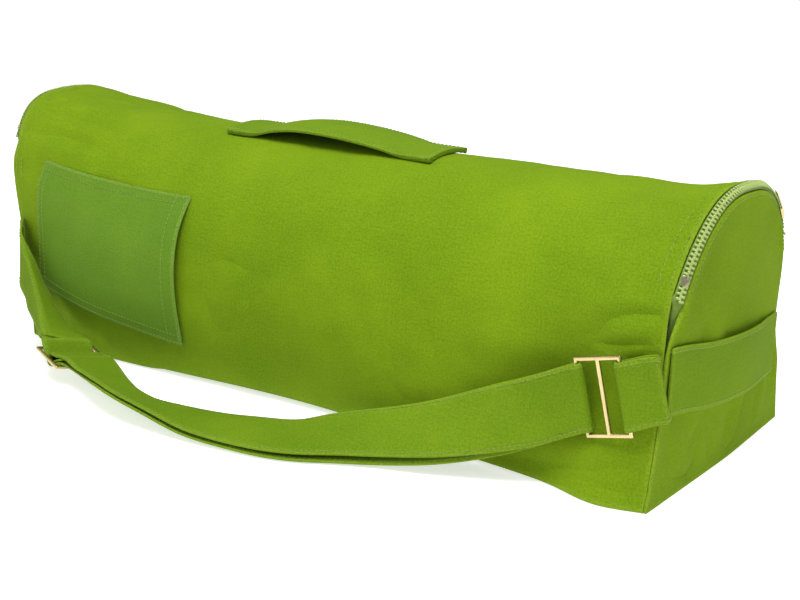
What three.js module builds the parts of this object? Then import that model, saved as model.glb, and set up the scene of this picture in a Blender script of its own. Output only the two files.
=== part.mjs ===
// Yoga mat bag: a long canvas tunnel with a flat base, an arched top and a D-shaped
// panel at each end. Millimetres, +Z up, +X along the bag, -Y its front side,
// with the origin in the middle of the base on the surface it stands on.
import * as THREE from 'three';

// Body sizes
const baseLength = 692;
const bodyHeight = 219;
const baseWidth = 266;
const rightLean = 8;
const rightSkew = 7;
const leftLean = 29;
const leftSkew = 9;
const leanCurve = 1.6;

// Cloth thicknesses and the gap kept between pieces that touch
const bodyCloth = 2;
const panelCloth = 2;
const pocketCloth = 1.5;
const strapCloth = 2.2;
const handleCloth = 3;
const clearance = 0.3;

// Zip round the arch of each end
const zipInset = 7.5;
const zipDrop = 7;
const zipDepth = 2.6;
const zipRelief = 1.1;
const zipStartHeight = 152;
const stopLength = 5;
const sliderLength = 11;
const pullLength = 17;

// Hem that frames each end panel beside the zip
const hemWidth = 14;
const hemPuff = 2.6;

// Outward dome of an end panel
const panelBulge = 5;
const domeWidth = 92;
const domeHeight = 92;

// Pocket on the front near the left end, open on its right edge
const pocketPouch = 7;

// Carry handle on the crown
const handleLength = 224;
const handleWidth = 48;
const handlePlace = -23;
const handleRise = 11;
const handleEnd = 30;
const handleFold = 1.6;

// Shoulder strap, its short loop, and the bands across the end panels
const strapWidth = 51;
const bandSlack = 3;
const bandSeamGap = 5;

// The two metal slides
const slideLength = 38;
const slideWidth = 60;
const slideBar = 3;

// Colours
const canvasGreen = 0x76991f;
const zipGreen = 0x9fbf62;
const softGold = 0xcdb675;

const halfLength = baseLength / 2;
const halfWidth = baseWidth / 2;

// Sections of the body from the left end to the right. Heights are shares of the body
// height and widths are shares of the half width. crown is the top, shift moves the top
// sideways, front and back are the belly, waist is its height, foot and backFoot are the
// flat base, and the rounds are the fullness of the arch, 2 for an ellipse.
const bodySections = [
  { at: -1.00, crown: 1.07, shift: 0.02, front: 0.73, back: 0.84, waist: 0.30, foot: 0.72, backFoot: 0.72, frontRound: 3.2, backRound: 2.6 },
  { at: -0.94, crown: 1.06, shift: 0.02, front: 0.80, back: 0.86, waist: 0.29, foot: 0.76, backFoot: 0.74, frontRound: 2.8, backRound: 2.5 },
  { at: -0.84, crown: 1.03, shift: 0.01, front: 0.85, back: 0.87, waist: 0.27, foot: 0.79, backFoot: 0.76, frontRound: 2.5, backRound: 2.3 },
  { at: -0.50, crown: 0.99, shift: 0.00, front: 0.88, back: 0.88, waist: 0.27, foot: 0.78, backFoot: 0.74, frontRound: 2.2, backRound: 2.1 },
  { at: 0.00, crown: 0.97, shift: 0.00, front: 0.86, back: 0.88, waist: 0.28, foot: 0.73, backFoot: 0.72, frontRound: 2.2, backRound: 2.1 },
  { at: 0.50, crown: 0.96, shift: 0.00, front: 0.90, back: 0.88, waist: 0.20, foot: 0.86, backFoot: 0.76, frontRound: 2.1, backRound: 2.1 },
  { at: 0.76, crown: 0.955, shift: 0.00, front: 0.97, back: 0.88, waist: 0.12, foot: 0.94, backFoot: 0.78, frontRound: 2.1, backRound: 2.2 },
  { at: 0.88, crown: 0.96, shift: -0.07, front: 1.05, back: 0.80, waist: 0.08, foot: 1.05, backFoot: 0.80, frontRound: 2.1, backRound: 2.4 },
  { at: 1.00, crown: 1.00, shift: -0.13, front: 1.00, back: 0.79, waist: 0.06, foot: 0.99, backFoot: 0.80, frontRound: 2.1, backRound: 2.7 },
];

// Dents and puckers of the cloth: place along and round the body, how far each spreads,
// and its depth as a share of the half width, below nought where the cloth stands proud
const dents = [
  { at: 0.86, turn: 0.248, span: 0.21, spread: 0.054, depth: 0.140 },
  { at: 0.55, turn: 0.225, span: 0.18, spread: 0.050, depth: 0.060 },
  { at: 1.00, turn: 0.290, span: 0.05, spread: 0.022, depth: -0.045 },
  { at: -0.87, turn: 0.220, span: 0.13, spread: 0.055, depth: 0.075 },
  { at: 1.00, turn: 0.738, span: 0.12, spread: 0.036, depth: 0.200 },
];

// Places round a section, from 0 in the middle of the base, up the front, over the crown
// at one half and down the back: where the base ends and where the belly is widest
const footTurn = 0.13;
const waistTurn = 0.20;
const crownTurn = 0.5;

// Steps of the mesh round half a section and along the body
const baseSteps = 4;
const lowerSteps = 3;
const archSteps = 12;
const bodySteps = 26;

function blend(from, to, share) {
  return from + (to - from) * share;
}

function smooth(share) {
  const held = Math.min(Math.max(share, 0), 1);
  return held * held * (3 - 2 * held);
}

// Value of one column of a table at a place, on a smooth curve through its rows
function column(rows, name, at, key = 'at') {
  let next = rows.findIndex((row) => row[key] >= at);
  if (next < 0) next = rows.length - 1;
  next = Math.max(next, 1);
  const before = rows[next - 1];
  const after = rows[next];
  const span = after[key] - before[key];
  const share = (at - before[key]) / span;
  const slope = (row, left, right) => (
    left && right ? (right[name] - left[name]) / (right[key] - left[key]) * span : after[name] - before[name]
  );
  const leaving = slope(before, rows[next - 2], after);
  const arriving = slope(after, before, rows[next + 1]);
  const s2 = share * share;
  const s3 = s2 * share;
  return (2 * s3 - 3 * s2 + 1) * before[name] + (s3 - 2 * s2 + share) * leaving
    + (3 * s2 - 2 * s3) * after[name] + (s3 - s2) * arriving;
}

function sectionRow(along) {
  const value = (name) => column(bodySections, name, along);
  return {
    crown: value('crown') * bodyHeight,
    shift: value('shift') * halfWidth,
    front: value('front') * halfWidth,
    back: value('back') * halfWidth,
    waist: value('waist') * bodyHeight,
    foot: value('foot') * halfWidth,
    backFoot: value('backFoot') * halfWidth,
    frontRound: value('frontRound'),
    backRound: value('backRound'),
  };
}

// Outline of one section: y and z at a place round it
function outline(row, turn) {
  const front = turn <= crownTurn;
  const half = front ? turn : 1 - turn;
  const side = front ? -1 : 1;
  const belly = front ? row.front : row.back;
  const foot = front ? row.foot : row.backFoot;
  if (half <= footTurn) return [side * foot * half / footTurn, 0];
  if (half <= waistTurn) {
    const angle = (half - footTurn) / (waistTurn - footTurn) * Math.PI / 2;
    return [side * (foot + (belly - foot) * Math.sin(angle)), row.waist * (1 - Math.cos(angle))];
  }
  const angle = (half - waistTurn) / (crownTurn - waistTurn) * Math.PI / 2;
  const round = front ? row.frontRound : row.backRound;
  const wide = Math.pow(Math.cos(angle), 2 / round);
  const high = Math.pow(Math.sin(angle), 2 / round);
  return [row.shift + (side * belly - row.shift) * wide, row.waist + (row.crown - row.waist) * high];
}

// The same place moved out of the section by a lift
function liftedOutline(row, turn, lift) {
  const step = 0.004;
  const [y, z] = outline(row, turn);
  const before = outline(row, Math.max(turn - step, 0));
  const after = outline(row, Math.min(turn + step, 1));
  const dy = after[0] - before[0];
  const dz = after[1] - before[1];
  const size = Math.hypot(dy, dz);
  return [y - dz / size * lift, z + dy / size * lift];
}

// How far the dents draw the cloth in at a place on the body
function dentDepth(along, turn) {
  return dents.reduce((sum, dent) => {
    const away = ((along - dent.at) / dent.span) ** 2 + ((turn - dent.turn) / dent.spread) ** 2;
    return sum + dent.depth * halfWidth * Math.exp(-away);
  }, 0);
}

// How far the end of the body leans outwards at a height. Its front is drawn in.
function endLean(along, side, height) {
  const [lean, skew] = along > 0 ? [rightLean, rightSkew] : [leftLean, leftSkew];
  const out = lean * Math.pow(Math.max(height, 0) / bodyHeight, leanCurve) + skew * Math.min(side, 0) / halfWidth;
  return Math.sign(along) * Math.pow(Math.abs(along), 4) * out;
}

// Share of the zip at a place round the end: 1 along the zip, 0 along the plain seam
const endRow = { right: sectionRow(1), left: sectionRow(-1) };

function turnAtHeight(row, height) {
  let low = waistTurn;
  let high = crownTurn;
  for (let i = 0; i < 30; i += 1) {
    const middle = (low + high) / 2;
    if (outline(row, middle)[1] < height) low = middle;
    else high = middle;
  }
  return low;
}

const zipTurn = turnAtHeight(endRow.right, zipStartHeight);
const zipFade = 0.045;
const zipStopPlace = 0.012;
const zipPieceGap = clearance + 0.4;

function zipShare(turn) {
  const half = turn <= crownTurn ? turn : 1 - turn;
  return smooth((half - zipTurn + zipFade) / zipFade);
}

// Point of the body's outer face, lifted off it by a distance
function bodyPoint(along, turn, lift = 0) {
  const [y, z] = liftedOutline(sectionRow(along), turn, lift - dentDepth(along, turn));
  const seamInset = panelCloth + clearance;
  const edge = halfLength - blend(seamInset, zipInset, zipShare(turn));
  return new THREE.Vector3(along * edge + endLean(along, y, z), y, z);
}

// A closed body between two sheets of points. wrap joins the last column to the first,
// and tip says that the last row of each sheet is one point.
function sheetSolid(top, under, { wrap = false, tip = false } = {}) {
  const rows = top.length;
  const cols = top[0].length;
  const points = [...top.flat(), ...under.flat()];
  const place = (sheet, row, col) => {
    const first = sheet * rows * cols + row * cols;
    return tip && row === rows - 1 ? first : first + (col % cols);
  };
  const faces = [];
  const triangle = (a, b, c) => {
    if (a !== b && b !== c && c !== a) faces.push([a, b, c]);
  };
  const quad = (a, b, c, d) => {
    triangle(a, b, c);
    triangle(a, c, d);
  };
  const lastCol = wrap ? cols : cols - 1;
  for (let col = 0; col < lastCol; col += 1) {
    for (let row = 0; row < rows - 1; row += 1) {
      quad(place(0, row, col), place(0, row, col + 1), place(0, row + 1, col + 1), place(0, row + 1, col));
      quad(place(1, row, col), place(1, row + 1, col), place(1, row + 1, col + 1), place(1, row, col + 1));
    }
    quad(place(0, 0, col), place(1, 0, col), place(1, 0, col + 1), place(0, 0, col + 1));
    const end = rows - 1;
    if (!tip) quad(place(0, end, col), place(0, end, col + 1), place(1, end, col + 1), place(1, end, col));
  }
  for (let row = 0; row < rows - 1 && !wrap; row += 1) {
    const end = cols - 1;
    quad(place(0, row, 0), place(0, row + 1, 0), place(1, row + 1, 0), place(1, row, 0));
    quad(place(0, row, end), place(1, row, end), place(1, row + 1, end), place(0, row + 1, end));
  }
  return solidFrom(points, faces);
}

// Geometry of a closed body, with its faces turned to point out
function solidFrom(points, faces) {
  let volume = 0;
  for (const [a, b, c] of faces) volume += points[a].dot(points[b].clone().cross(points[c]));
  const corners = faces.flatMap(([a, b, c]) => (volume > 0 ? [a, b, c] : [a, c, b]));
  const geometry = new THREE.BufferGeometry();
  geometry.setAttribute('position', new THREE.Float32BufferAttribute(points.flatMap((p) => p.toArray()), 3));
  geometry.setIndex(corners);
  geometry.computeVertexNormals();
  return geometry;
}

function spread(count, at) {
  return Array.from({ length: count + 1 }, (_, i) => at(i / count));
}

// Places round a section, closer together on the arch, with one at each end of the zip
function turnsRound() {
  const half = [
    ...spread(baseSteps, (s) => s * footTurn).slice(0, -1),
    ...spread(lowerSteps, (s) => blend(footTurn, waistTurn, s)).slice(0, -1),
    ...spread(archSteps, (s) => blend(waistTurn, crownTurn, s)),
    zipTurn,
  ].sort((a, b) => a - b);
  return [...half, ...half.slice(1, -1).reverse().map((turn) => 1 - turn)];
}

// Body: the canvas tunnel, open at both ends
function mainBody() {
  const turns = turnsRound();
  const stops = spread(bodySteps, (s) => {
    const even = 2 * s - 1;
    return 0.6 * even + 0.4 * Math.sin(even * Math.PI / 2);
  });
  const sheet = (lift) => stops.map((along) => turns.map((turn) => {
    const point = bodyPoint(along, turn, lift);
    if (lift < 0) point.z = Math.max(point.z, -lift);
    return point;
  }));
  return sheetSolid(sheet(0), sheet(-bodyCloth), { wrap: true });
}

// Point of an end panel's outer face. inward is 0 at its edge and 1 at its middle.
const panelMiddleHeight = 0.44;

function panelDome(y, z) {
  const wide = y / domeWidth;
  const high = (z - panelMiddleHeight * bodyHeight) / domeHeight;
  return panelBulge * Math.max(1 - wide * wide - high * high, 0);
}

function panelEdge(side, turn, drop) {
  const row = side > 0 ? endRow.right : endRow.left;
  return liftedOutline(row, turn, -drop - dentDepth(side, turn));
}

function panelPoint(side, turn, inward, depth) {
  const [edgeY, edgeZ] = panelEdge(side, turn, zipDrop * zipShare(turn));
  const row = side > 0 ? endRow.right : endRow.left;
  const middle = row.crown * panelMiddleHeight;
  const y = edgeY * (1 - inward);
  const z = middle + (edgeZ - middle) * (1 - inward);
  const fromEdge = inward * halfWidth;
  const hem = Math.sin(Math.min(fromEdge / hemWidth, 1) * Math.PI) * hemPuff * zipShare(turn);
  const out = halfLength - depth + hem + panelDome(y, z);
  return new THREE.Vector3(side * out + endLean(side, y, z), y, z);
}

function endPanel(side) {
  const turns = turnsRound();
  const rings = [0, hemWidth / 3, hemWidth * 2 / 3, hemWidth].map((width) => width / halfWidth);
  rings.push(0.32, 0.6, 1);
  const sheet = (depth) => rings.map((inward) => turns.map((turn) => panelPoint(side, turn, inward, depth)));
  return sheetSolid(sheet(0), sheet(panelCloth), { wrap: true, tip: true });
}

// Zip: a band with raised teeth, set slantwise between the body's edge and the panel's
const zipSection = [
  { out: -zipInset + clearance, lift: 0 },
  { out: (-zipInset + clearance) / 2 + zipRelief, lift: (-zipDrop + clearance) / 2 + zipRelief },
  { out: 0, lift: -zipDrop + clearance },
  { out: -zipDepth, lift: -zipDrop + clearance },
  { out: -zipInset + clearance, lift: -zipDepth },
];

function zipPoint(side, turn, corner) {
  const row = side > 0 ? endRow.right : endRow.left;
  const [y, z] = liftedOutline(row, turn, corner.lift - dentDepth(side, turn));
  return new THREE.Vector3(side * (halfLength + corner.out) + endLean(side, y, z), y, z);
}

function zip(side) {
  const run = turnsRound().filter((turn) => turn >= zipTurn && turn <= 1 - zipTurn);
  return closedSweep(run.map((turn) => zipSection.map((corner) => zipPoint(side, turn, corner))));
}

// Piece that sits on the zip: rows give its section as it runs along, by the distance from
// its start, with the chain's two sides at from and to, and its underside and top
function onZip(side, start, rows) {
  const slant = Math.hypot(zipInset, zipDrop);
  const corner = (across, high) => ({
    out: -zipInset + (across * zipInset + high * zipDrop) / slant,
    lift: (-across * zipDrop + high * zipInset) / slant,
  });
  const ridge = (across, high) => high + zipRelief * Math.SQRT2 * (1 - Math.abs(across * 2 / slant - 1));
  const lengthRound = sectionRow(side).crown * 2.6;
  return closedSweep(rows.map(({ at, narrow, under, top }) => {
    const across = [narrow, slant / 2, slant - narrow];
    const section = [
      ...across.map((u) => corner(u, ridge(u, under))),
      ...across.reverse().map((u) => corner(u, ridge(u, top))),
    ];
    return section.map((place) => zipPoint(side, start + at / lengthRound, place));
  }));
}

function zipStop(side) {
  return onZip(side, zipTurn + zipStopPlace, [
    { at: 0, narrow: 2, under: zipPieceGap, top: 1.6 },
    { at: stopLength, narrow: 2, under: zipPieceGap, top: 1.6 },
  ]);
}

// Slider with its pull lying back along the chain
function zipSlider(side) {
  return onZip(side, 1 - zipTurn - zipStopPlace - 0.03, [
    { at: -pullLength, narrow: 2.6, under: 2.2, top: 3.2 },
    { at: -0.1, narrow: 2.6, under: 2.2, top: 3.2 },
    { at: 0, narrow: 1.6, under: zipPieceGap, top: 3.2 },
    { at: sliderLength * 0.6, narrow: 1.0, under: zipPieceGap, top: 3.4 },
    { at: sliderLength, narrow: 2.4, under: zipPieceGap, top: 2.6 },
  ]);
}

// A solid through a row of closed sections. A section lists its lower corners one way and
// its upper corners back again, so each end is closed by the strip between the two rows.
function closedSweep(sections) {
  const size = sections[0].length;
  const points = sections.flat();
  const faces = [];
  for (let i = 0; i < sections.length - 1; i += 1) {
    for (let j = 0; j < size; j += 1) {
      const next = (j + 1) % size;
      const a = i * size + j;
      const b = i * size + next;
      faces.push([a, b, b + size], [a, b + size, a + size]);
    }
  }
  const last = (sections.length - 1) * size;
  const close = (a, b, c) => faces.push([a, c, b], [last + a, last + b, last + c]);
  for (let j = 0; j < size - 2 - j; j += 1) {
    const above = size - 2 - j;
    if (j + 1 < above) close(j, j + 1, above);
    close(j, above, above + 1);
  }
  return solidFrom(points, faces);
}

// Pocket corners: place along the body and place round it
const pocketCorners = {
  topMouth: { along: -0.358, turn: 0.336 },
  lowMouth: { along: -0.340, turn: 0.181 },
  topShut: { along: -0.878, turn: 0.332 },
  lowShut: { along: -0.930, turn: 0.197 },
};
const pocketSteps = 9;
const pocketRows = 8;
const pocketGap = clearance + 0.2;

function pocket() {
  const sheet = (base) => spread(pocketRows, (up) => spread(pocketSteps, (across) => {
    const { topMouth, lowMouth, topShut, lowShut } = pocketCorners;
    const mouth = blend(lowMouth.along, topMouth.along, up);
    const shut = blend(lowShut.along, topShut.along, up);
    const turnMouth = blend(lowMouth.turn, topMouth.turn, up);
    const turnShut = blend(lowShut.turn, topShut.turn, up);
    const pouch = pocketPouch * Math.pow(across, 2) * Math.sin(up * Math.PI);
    return bodyPoint(blend(shut, mouth, across), blend(turnShut, turnMouth, across), base + pouch);
  }));
  return sheetSolid(sheet(pocketGap + pocketCloth), sheet(pocketGap));
}

// Handle: both ends sewn flat on the crown, the middle arched clear of it. rise is a
// share of the greatest rise, at a share of the handle's length.
const handleArch = [
  { at: 0.00, rise: 0.00 },
  { at: 0.12, rise: 0.00 },
  { at: 0.24, rise: 0.65 },
  { at: 0.38, rise: 1.00 },
  { at: 0.60, rise: 0.85 },
  { at: 0.78, rise: 0.42 },
  { at: 0.88, rise: 0.00 },
  { at: 1.00, rise: 0.00 },
];
const handleSteps = 24;
const handleColumns = 4;

function handle() {
  const turnWidth = handleWidth / 2 / (sectionRow(0).crown * 2.6);
  const sheet = (top) => spread(handleSteps, (s) => spread(handleColumns, (t) => {
    const along = (handlePlace + (s - 0.5) * handleLength) / halfLength;
    const rise = handleRise * Math.max(column(handleArch, 'rise', s), 0);
    const fold = Math.min(s, 1 - s) * handleLength < handleEnd ? handleFold : 0;
    const lift = clearance + rise + (top ? handleCloth + fold : 0);
    return bodyPoint(along, crownTurn + (2 * t - 1) * turnWidth, lift);
  }));
  return sheetSolid(sheet(true), sheet(false));
}

// Straps: a ribbon of cloth through a list of places. Each has its point, on a crease that
// may lie anywhere across the width, wide, the direction of the upper part, and, where the
// lower part folds away from it, low, that part's direction, and share, its share.
function ribbon(places, width, thickness) {
  const sections = places.map(({ point, wide, low = wide.clone().negate(), share = 0.5 }, i) => {
    const before = places[Math.max(i - 1, 0)].point;
    const after = places[Math.min(i + 1, places.length - 1)].point;
    const forward = after.clone().sub(before).normalize();
    const [upper, lower] = [wide.clone().normalize(), low.clone().normalize()];
    const upperFace = forward.clone().cross(upper).normalize();
    const lowerFace = lower.clone().cross(forward).normalize();
    const crease = upperFace.clone().add(lowerFace);
    crease.multiplyScalar(2 / crease.lengthSq());
    const corner = (out, face, way, length) => point.clone()
      .addScaledVector(face, out * thickness / 2)
      .addScaledVector(way, length);
    return [1, -1].flatMap((out) => {
      const row = [
        corner(out, lowerFace, lower, share * width),
        corner(out, crease, lower, 0),
        corner(out, upperFace, upper, (1 - share) * width),
      ];
      return out > 0 ? row : row.reverse();
    });
  });
  return closedSweep(sections);
}

// Width direction of a strap that runs forward: upright at a roll of 0, flat at 90
function rolledWidth(forward, roll) {
  const flat = new THREE.Vector3(0, 0, 1).cross(forward).normalize();
  const upright = forward.clone().cross(flat);
  const angle = THREE.MathUtils.degToRad(roll);
  return upright.multiplyScalar(Math.cos(angle)).addScaledVector(flat, Math.sin(angle));
}

// Strap places: along is a share of the half length, out a share of the half width
// towards the front, and up a share of the strap's width
function strapPlace(row) {
  return new THREE.Vector3(row.along * halfLength, -row.out * halfWidth, row.up * strapWidth);
}

// Places of a strap on a smooth curve through a table's rows, from left to right. The
// columns between two rows are blended in a straight line.
function route(rows, steps) {
  const curve = new THREE.CatmullRomCurve3(rows.map(strapPlace), false, 'centripetal');
  return spread(steps, (s) => {
    const whole = s * (rows.length - 1);
    const first = Math.min(Math.floor(whole), rows.length - 2);
    const value = (name) => blend(rows[first][name], rows[first + 1][name], whole - first);
    return { point: curve.getPoint(s), forward: curve.getTangent(s), value };
  });
}

function rolledRoute(rows, steps) {
  return route(rows, steps).map(({ point, forward, value }) => (
    { point, forward, wide: rolledWidth(forward, value('roll')), value }
  ));
}

// A slide's own directions: forward along the strap, wide along its bars, face outwards
function slideFrame({ turn, dip, roll, ...row }) {
  const turned = THREE.MathUtils.degToRad(turn);
  const dipped = THREE.MathUtils.degToRad(dip);
  const level = Math.cos(dipped);
  const forward = new THREE.Vector3(level * Math.cos(turned), level * Math.sin(turned), -Math.sin(dipped));
  const wide = rolledWidth(forward, roll);
  return { middle: strapPlace(row), forward, wide, face: forward.clone().cross(wide) };
}

// Place in a slide: along the strap from its centre bar, and out from its face
function inSlide(frame, along, out, across = 0) {
  const point = frame.middle.clone()
    .addScaledVector(frame.forward, along)
    .addScaledVector(frame.face, out)
    .addScaledVector(frame.wide, across);
  return { point, wide: frame.wide };
}

// Half a turn of strap round a bar, from the slide's face to its underside. towards is 1
// where the strap's fold points right and -1 where it points left.
function roundBar(frame, barAlong, towards) {
  return spread(foldSteps, (s) => {
    const angle = s * Math.PI;
    return inSlide(frame, barAlong + towards * barWrap * Math.sin(angle), barWrap * Math.cos(angle));
  });
}

const foldSteps = 6;
const layer = strapCloth + clearance;
const barWrap = slideBar / Math.SQRT2 + clearance + strapCloth / 2;
const barReach = (slideLength - slideBar) / 2;
const overBar = barWrap + layer / 2;
const slotLayer = layer * 1.25;

const buckleFrame = slideFrame({ along: 0.867, out: 0.950, up: 1.53, turn: -2, dip: -13, roll: 0 });
const leftFrame = slideFrame({ along: -0.616, out: 1.175, up: 0.34, turn: -14.5, dip: 15, roll: 103 });

// The two layers of the shoulder strap between the slides. apart opens the back layer
// from the front one and slip lets it down, both as shares of the strap's width.
const strapRows = [
  { along: -0.480, out: 1.280, up: 0.32, roll: 111, apart: 0.030, slip: -0.08 },
  { along: -0.405, out: 1.370, up: 0.33, roll: 116, apart: 0.025, slip: -0.04 },
  { along: -0.340, out: 1.430, up: 0.33, roll: 116, apart: 0.020, slip: 0.00 },
  { along: -0.275, out: 1.465, up: 0.30, roll: 113, apart: 0.020, slip: 0.00 },
  { along: -0.190, out: 1.470, up: 0.26, roll: 106, apart: 0.035, slip: 0.00 },
  { along: -0.080, out: 1.452, up: 0.18, roll: 94, apart: 0.045, slip: 0.00 },
  { along: 0.041, out: 1.426, up: 0.19, roll: 86, apart: 0.040, slip: 0.01 },
  { along: 0.172, out: 1.366, up: 0.23, roll: 81, apart: 0.055, slip: 0.03 },
  { along: 0.272, out: 1.245, up: 0.33, roll: 71, apart: 0.070, slip: 0.05 },
  { along: 0.377, out: 1.150, up: 0.44, roll: 62, apart: 0.075, slip: 0.06 },
  { along: 0.489, out: 1.095, up: 0.62, roll: 50, apart: 0.070, slip: 0.06 },
  { along: 0.600, out: 1.045, up: 0.86, roll: 34, apart: 0.060, slip: 0.04 },
  { along: 0.710, out: 0.990, up: 1.12, roll: 14, apart: 0.080, slip: 0.00 },
];

// From the left seam down to the slide, along the crease that runs from one edge of the
// strap to the other: share is how much of the width is below it, tip is how far the cloth
// above and below it leans from straight up, and turn is where it leans, from back to right
const leftRows = [
  { along: -0.998, out: 0.715, up: 2.27, share: 0.98, tip: 10, turn: 0, lowTip: 176, lowTurn: -90 },
  { along: -0.982, out: 0.762, up: 2.24, share: 0.98, tip: 20, turn: 0, lowTip: 176, lowTurn: -90 },
  { along: -0.945, out: 0.850, up: 1.99, share: 0.92, tip: 60, turn: -20, lowTip: 172, lowTurn: -90 },
  { along: -0.904, out: 0.895, up: 1.69, share: 0.80, tip: 85, turn: -22, lowTip: 172, lowTurn: -90 },
  { along: -0.860, out: 0.950, up: 1.35, share: 0.62, tip: 105, turn: -24, lowTip: 160, lowTurn: -90 },
  { along: -0.795, out: 1.060, up: 1.02, share: 0.38, tip: 108, turn: -18, lowTip: 155, lowTurn: -90 },
  { along: -0.713, out: 1.230, up: 0.69, share: 0.10, tip: 106, turn: -6, lowTip: 150, lowTurn: -90 },
];

function leaning(tip, turn) {
  const tipped = THREE.MathUtils.degToRad(tip);
  const turned = THREE.MathUtils.degToRad(turn);
  const level = Math.sin(tipped);
  return new THREE.Vector3(level * Math.sin(turned), level * Math.cos(turned), Math.cos(tipped));
}

// Shoulder strap: one length, sewn in the left seam, over the left slide's outer bars and
// under its middle one, along to the buckle, round its left bar, and back over itself to
// the left slide's middle bar, where its end is folded under and sewn
function shoulderStrap() {
  const front = rolledRoute(strapRows, 34);
  const back = front.map(({ point, forward, wide, value }) => ({
    point: point.clone()
      .addScaledVector(forward.clone().cross(wide), -layer - value('apart') * strapWidth)
      .addScaledVector(wide, -value('slip') * strapWidth),
    wide,
  }));
  const left = route(leftRows, 18).map(({ point, value }) => ({
    point,
    wide: leaning(value('tip'), value('turn')),
    low: leaning(value('lowTip'), value('lowTurn')),
    share: value('share'),
  }));
  const places = [
    ...left,
    inSlide(leftFrame, -barReach - slideBar, overBar + layer),
    inSlide(leftFrame, -barReach, overBar),
    inSlide(leftFrame, -barReach / 2, -barWrap / 2),
    inSlide(leftFrame, 0, -barWrap - slotLayer),
    inSlide(leftFrame, slideBar, -barWrap - slotLayer),
    inSlide(leftFrame, barReach / 2, -barWrap / 2),
    inSlide(leftFrame, barReach, overBar),
    ...back,
    inSlide(buckleFrame, -barReach - slideBar, -barWrap),
    ...roundBar(buckleFrame, -barReach, 1).reverse(),
    inSlide(buckleFrame, -barReach - slideBar, barWrap),
    ...front.reverse(),
    inSlide(leftFrame, barReach, overBar + 2 * slotLayer),
    inSlide(leftFrame, barReach / 2, overBar + clearance),
    ...roundBar(leftFrame, 0, -1),
    inSlide(leftFrame, slideBar, -barWrap),
    inSlide(leftFrame, barReach / 2, -barWrap / 2 + slotLayer),
    inSlide(leftFrame, barReach, overBar + slotLayer),
  ];
  return ribbon(places, strapWidth, strapCloth);
}

// Short loop sewn in the right front seam and passed round the buckle's right bar
const loopRows = [
  { along: 0.994, out: 0.922, up: 1.80, roll: 6 },
  { along: 0.966, out: 0.945, up: 1.76, roll: 3 },
];

const loopLayer = layer * 0.75;

function buckleLoop() {
  const seam = rolledRoute(loopRows, 2);
  const side = (sign) => seam.map(({ point, forward, wide }) => ({
    point: point.clone().addScaledVector(forward.clone().cross(wide), sign * loopLayer),
    wide,
  }));
  const places = [...side(-1), ...roundBar(buckleFrame, barReach, -1), ...side(1).reverse()];
  return ribbon(places, strapWidth, strapCloth);
}

// Bands across the end panels: at runs from the front seam to the back one, up is the
// middle's height in strap widths, and slack is how far the band stands off the panel
const bandRows = [
  { at: 0.00, up: 1.84, slack: 0.0 },
  { at: 0.10, up: 1.80, slack: 0.5 },
  { at: 0.30, up: 1.68, slack: 0.9 },
  { at: 0.55, up: 1.60, slack: 1.0 },
  { at: 0.75, up: 1.55, slack: 0.6 },
  { at: 0.85, up: 1.53, slack: 0.1 },
  { at: 1.00, up: 1.50, slack: 0.0 },
];
const bandSteps = 18;
const bandGap = clearance + 0.35;

function endBand(side) {
  const seam = (turn) => panelEdge(side, turn, 0)[0];
  const height = bandRows[0].up * strapWidth;
  const bandTurn = turnAtHeight(side > 0 ? endRow.right : endRow.left, height);
  const from = seam(bandTurn) + bandSeamGap;
  const to = seam(1 - bandTurn) - bandSeamGap;
  const places = spread(bandSteps, (at) => {
    const y = blend(from, to, at);
    const z = column(bandRows, 'up', at) * strapWidth;
    const slack = Math.max(column(bandRows, 'slack', at), 0) * bandSlack;
    const middle = panelMiddleHeight * bodyHeight;
    const proudest = Math.min(Math.max(middle, z - strapWidth / 2), z + strapWidth / 2);
    const out = halfLength + panelDome(y, proudest) + bandGap + strapCloth / 2 + slack;
    const lean = endLean(side, y, z + 1) - endLean(side, y, z);
    return { point: new THREE.Vector3(side * out + endLean(side, y, z), y, z), wide: new THREE.Vector3(lean, 0, 1) };
  });
  return ribbon(places, strapWidth, strapCloth);
}

// Slide: a rectangular frame of square bar with one bar across its middle, made of the
// blocks between these lines, with the two slots left out
function slide(frame) {
  const [long, high] = [slideLength / 2, slideWidth / 2];
  const across = [-long, slideBar - long, -slideBar / 2, slideBar / 2, long - slideBar, long];
  const up = [-high, slideBar - high, high - slideBar, high];
  const points = [-1, 1].flatMap((face) => across.flatMap((x) => up.map((y) => (
    inSlide(frame, x, face * slideBar / 2, y).point
  ))));
  const place = (i, j, face) => (face * across.length + i) * up.length + j;
  const metal = (i, j) => across[i + 1] !== undefined && i >= 0 && up[j + 1] !== undefined && j >= 0
    && !(j === 1 && i % 2 === 1);
  const faces = [];
  const quad = (a, b, c, d) => faces.push([a, b, c], [a, c, d]);
  const wall = (i, j, k, l) => quad(place(i, j, 0), place(k, l, 0), place(k, l, 1), place(i, j, 1));
  for (let i = 0; i < across.length - 1; i += 1) {
    for (let j = 0; j < up.length - 1; j += 1) {
      if (!metal(i, j)) continue;
      quad(place(i, j, 1), place(i + 1, j, 1), place(i + 1, j + 1, 1), place(i, j + 1, 1));
      quad(place(i, j, 0), place(i, j + 1, 0), place(i + 1, j + 1, 0), place(i + 1, j, 0));
      if (!metal(i, j - 1)) wall(i, j, i + 1, j);
      if (!metal(i + 1, j)) wall(i + 1, j, i + 1, j + 1);
      if (!metal(i, j + 1)) wall(i + 1, j + 1, i, j + 1);
      if (!metal(i - 1, j)) wall(i, j + 1, i, j);
    }
  }
  return solidFrom(points, faces);
}

const group = new THREE.Group();

function addPiece(name, geometry, color, roughness, metalness = 0) {
  const mesh = new THREE.Mesh(geometry, new THREE.MeshStandardMaterial({ color, roughness, metalness }));
  mesh.name = name;
  group.add(mesh);
}

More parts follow.
